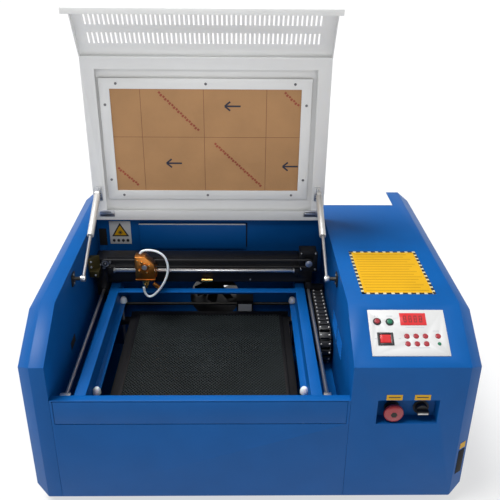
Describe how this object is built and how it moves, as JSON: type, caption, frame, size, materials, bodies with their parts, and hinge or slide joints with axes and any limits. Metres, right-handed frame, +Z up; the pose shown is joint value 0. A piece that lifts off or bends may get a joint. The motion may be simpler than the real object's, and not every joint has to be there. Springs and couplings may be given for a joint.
{
  "type": "desktop laser cutter",
  "caption": "Bench laser cutter: blue sheet-steel cabinet, hinged lid on gas struts, X-Y gantry with laser head, lifting bed, exhaust fan and control panel.",
  "frame": {"origin": "on the floor, under the centre of the machine's outer box", "axes": "+X to the right of a person facing the front, +Y from the front to the rear, +Z up"},
  "size_m": [0.86, 0.7, 0.9147],
  "materials": {
    "blue_paint": "semi-gloss powder coat",
    "white_paint": "satin powder coat",
    "black_metal": "black anodised",
    "bright_steel": "ground",
    "plain_aluminium": "mill",
    "brass": "polished",
    "papered_acrylic": "clear sheet under its brown protective paper",
    "panel_film": "satin film",
    "red_plastic": "gloss",
    "green_plastic": "gloss",
    "black_plastic": "moulded",
    "rubber": "matte",
    "hose_plastic": "satin",
    "tube_glass": "clear"
  },
  "bodies": {
    "cabinet": {"bottom_pan": "blue_paint", "left_housing": "blue_paint", "right_housing": "blue_paint", "front_panel": "blue_paint", "rear_bulkhead": "blue_paint", "rear_panel": "blue_paint", "deck_frame": "blue_paint", "foot_front_left": "rubber", "foot_front_right": "rubber", "foot_rear_left": "rubber", "foot_rear_right": "rubber", "laser_tube": "tube_glass", "tube_bench": "plain_aluminium", "power_supply": "black_plastic", "fan_housing": "black_plastic", "y_shaft_left": "bright_steel", "y_shaft_right": "bright_steel", "y_belt_left": "rubber", "y_belt_right": "rubber", "y_motor": "black_metal", "control_plate": "panel_film", "strut_bracket_left": "black_metal", "strut_bracket_right": "black_metal", "drag_chain_tail": "black_plastic", "lift_screws": "bright_steel"},
    "lid": {"lid_shell": "white_paint", "lid_window": "papered_acrylic", "lid_frame": "white_paint"},
    "rod_left": {"strut_rod_left": "bright_steel"},
    "cylinder_left": {"strut_cylinder_left": "bright_steel"},
    "rod_right": {"strut_rod_right": "bright_steel"},
    "cylinder_right": {"strut_cylinder_right": "bright_steel"},
    "flap": {"front_flap": "blue_paint"},
    "rear_cover": {"tube_cover": "white_paint"},
    "gantry": {"gantry_beam": "black_metal", "x_shaft": "bright_steel", "x_motor": "black_metal", "x_belt": "rubber", "gantry_mirror": "black_metal"},
    "pulley": {"x_pulley": "plain_aluminium"},
    "head": {"head_carriage": "brass", "nozzle": "brass", "air_hose": "hose_plastic"},
    "drive": {"y_drive_shaft": "bright_steel"},
    "chain": {"drag_chain": "black_plastic"},
    "platform": {"platform_frame": "black_metal", "honeycomb_bed": "black_metal"},
    "fan": {"fan_rotor": "black_plastic"},
    "key_one": {"key_1": "red_plastic"},
    "key_two": {"key_2": "red_plastic"},
    "key_three": {"key_3": "red_plastic"},
    "key_four": {"key_4": "red_plastic"},
    "key_five": {"key_5": "red_plastic"},
    "key_six": {"key_6": "red_plastic"},
    "key_seven": {"key_7": "red_plastic"},
    "red_push": {"red_button": "red_plastic"},
    "green_push": {"green_button": "green_plastic"},
    "rocker": {"rocker_switch": "red_plastic"},
    "estop": {"estop_button": "red_plastic"},
    "selector": {"selector_knob": "black_plastic"}
  },
  "joints": [
    {"name": "lid_hinge", "type": "hinge", "parent": "cabinet", "child": "lid", "pos_m": [-0.0945, 0.1705, 0.404], "axis": [1, 0, 0], "range_deg": [0, 88.6]},
    {"name": "strut_swing_left", "type": "hinge", "parent": "cabinet", "child": "rod_left", "pos_m": [-0.354, -0.088, 0.378], "axis": [1, 0, 0], "range_deg": [-31.2, 0]},
    {"name": "strut_stroke_left", "type": "slide", "parent": "rod_left", "child": "cylinder_left", "axis": [0, 0.8958, 0.4446], "range_m": [-0.0645, 0]},
    {"name": "strut_swing_right", "type": "hinge", "parent": "cabinet", "child": "rod_right", "pos_m": [0.165, -0.088, 0.378], "axis": [1, 0, 0], "range_deg": [-31.2, 0]},
    {"name": "strut_stroke_right", "type": "slide", "parent": "rod_right", "child": "cylinder_right", "axis": [0, 0.8958, 0.4446], "range_m": [-0.0645, 0]},
    {"name": "flap_hinge", "type": "hinge", "parent": "cabinet", "child": "flap", "pos_m": [-0.0945, -0.349, 0.208], "axis": [1, 0, 0], "range_deg": [0, 90]},
    {"name": "cover_hinge", "type": "hinge", "parent": "cabinet", "child": "rear_cover", "pos_m": [0, 0.349, 0.404], "axis": [-1, 0, 0], "range_deg": [0, 85]},
    {"name": "gantry_y", "type": "slide", "parent": "cabinet", "child": "gantry", "axis": [0, 1, 0], "range_m": [-0.31, 0]},
    {"name": "head_x", "type": "slide", "parent": "gantry", "child": "head", "axis": [1, 0, 0], "range_m": [-0.05, 0.3]},
    {"name": "pulley_spin", "type": "hinge", "parent": "gantry", "child": "pulley", "pos_m": [0.144, 0.079, 0.328], "axis": [0, 1, 0], "continuous": true},
    {"name": "drive_spin", "type": "hinge", "parent": "cabinet", "child": "drive", "pos_m": [-0.1025, 0.162, 0.167], "axis": [1, 0, 0], "continuous": true},
    {"name": "chain_roll", "type": "slide", "parent": "cabinet", "child": "chain", "axis": [0, 1, 0], "range_m": [-0.156, 0]},
    {"name": "platform_lift", "type": "slide", "parent": "cabinet", "child": "platform", "axis": [0, 0, 1], "range_m": [-0.05, 0.025]},
    {"name": "fan_spin", "type": "hinge", "parent": "cabinet", "child": "fan", "pos_m": [-0.085, 0.262, 0.172], "axis": [0, 1, 0], "continuous": true},
    {"name": "key_one_press", "type": "slide", "parent": "cabinet", "child": "key_one", "axis": [0, 0.4875, -0.8731], "range_m": [0, 0.0008], "stiffness_N_per_m": 800, "springref_m": -0.0004},
    {"name": "key_two_press", "type": "slide", "parent": "cabinet", "child": "key_two", "axis": [0, 0.4875, -0.8731], "range_m": [0, 0.0008], "stiffness_N_per_m": 800, "springref_m": -0.0004},
    {"name": "key_three_press", "type": "slide", "parent": "cabinet", "child": "key_three", "axis": [0, 0.4875, -0.8731], "range_m": [0, 0.0008], "stiffness_N_per_m": 800, "springref_m": -0.0004},
    {"name": "key_four_press", "type": "slide", "parent": "cabinet", "child": "key_four", "axis": [0, 0.4875, -0.8731], "range_m": [0, 0.0008], "stiffness_N_per_m": 800, "springref_m": -0.0004},
    {"name": "key_five_press", "type": "slide", "parent": "cabinet", "child": "key_five", "axis": [0, 0.4875, -0.8731], "range_m": [0, 0.0008], "stiffness_N_per_m": 800, "springref_m": -0.0004},
    {"name": "key_six_press", "type": "slide", "parent": "cabinet", "child": "key_six", "axis": [0, 0.4875, -0.8731], "range_m": [0, 0.0008], "stiffness_N_per_m": 800, "springref_m": -0.0004},
    {"name": "key_seven_press", "type": "slide", "parent": "cabinet", "child": "key_seven", "axis": [0, 0.4875, -0.8731], "range_m": [0, 0.0008], "stiffness_N_per_m": 800, "springref_m": -0.0004},
    {"name": "red_press", "type": "slide", "parent": "cabinet", "child": "red_push", "axis": [0, 0.4875, -0.8731], "range_m": [0, 0.003], "stiffness_N_per_m": 400, "springref_m": -0.001},
    {"name": "green_press", "type": "slide", "parent": "cabinet", "child": "green_push", "axis": [0, 0.4875, -0.8731], "range_m": [0, 0.003], "stiffness_N_per_m": 400, "springref_m": -0.001},
    {"name": "rocker_tilt", "type": "hinge", "parent": "cabinet", "child": "rocker", "pos_m": [0.252, -0.29936, 0.36527], "axis": [1, 0, 0], "range_deg": [-12, 0]},
    {"name": "estop_press", "type": "slide", "parent": "cabinet", "child": "estop", "axis": [0, 1, 0], "range_m": [0, 0.004]},
    {"name": "selector_turn", "type": "hinge", "parent": "cabinet", "child": "selector", "pos_m": [0.329, -0.33, 0.2265], "axis": [0, 1, 0], "range_deg": [0, 60]}
  ],
  "couplings": [
    {"joint": "strut_swing_left", "follows": "lid_hinge", "ratio": -0.351},
    {"joint": "strut_stroke_left", "follows": "lid_hinge", "m_per_rad": -0.041554},
    {"joint": "strut_swing_right", "follows": "lid_hinge", "ratio": -0.351},
    {"joint": "strut_stroke_right", "follows": "lid_hinge", "m_per_rad": -0.041554},
    {"joint": "pulley_spin", "follows": "head_x", "rad_per_m": -110.5},
    {"joint": "drive_spin", "follows": "gantry_y", "rad_per_m": -108.1},
    {"joint": "chain_roll", "follows": "gantry_y", "ratio": 0.5}
  ]
}
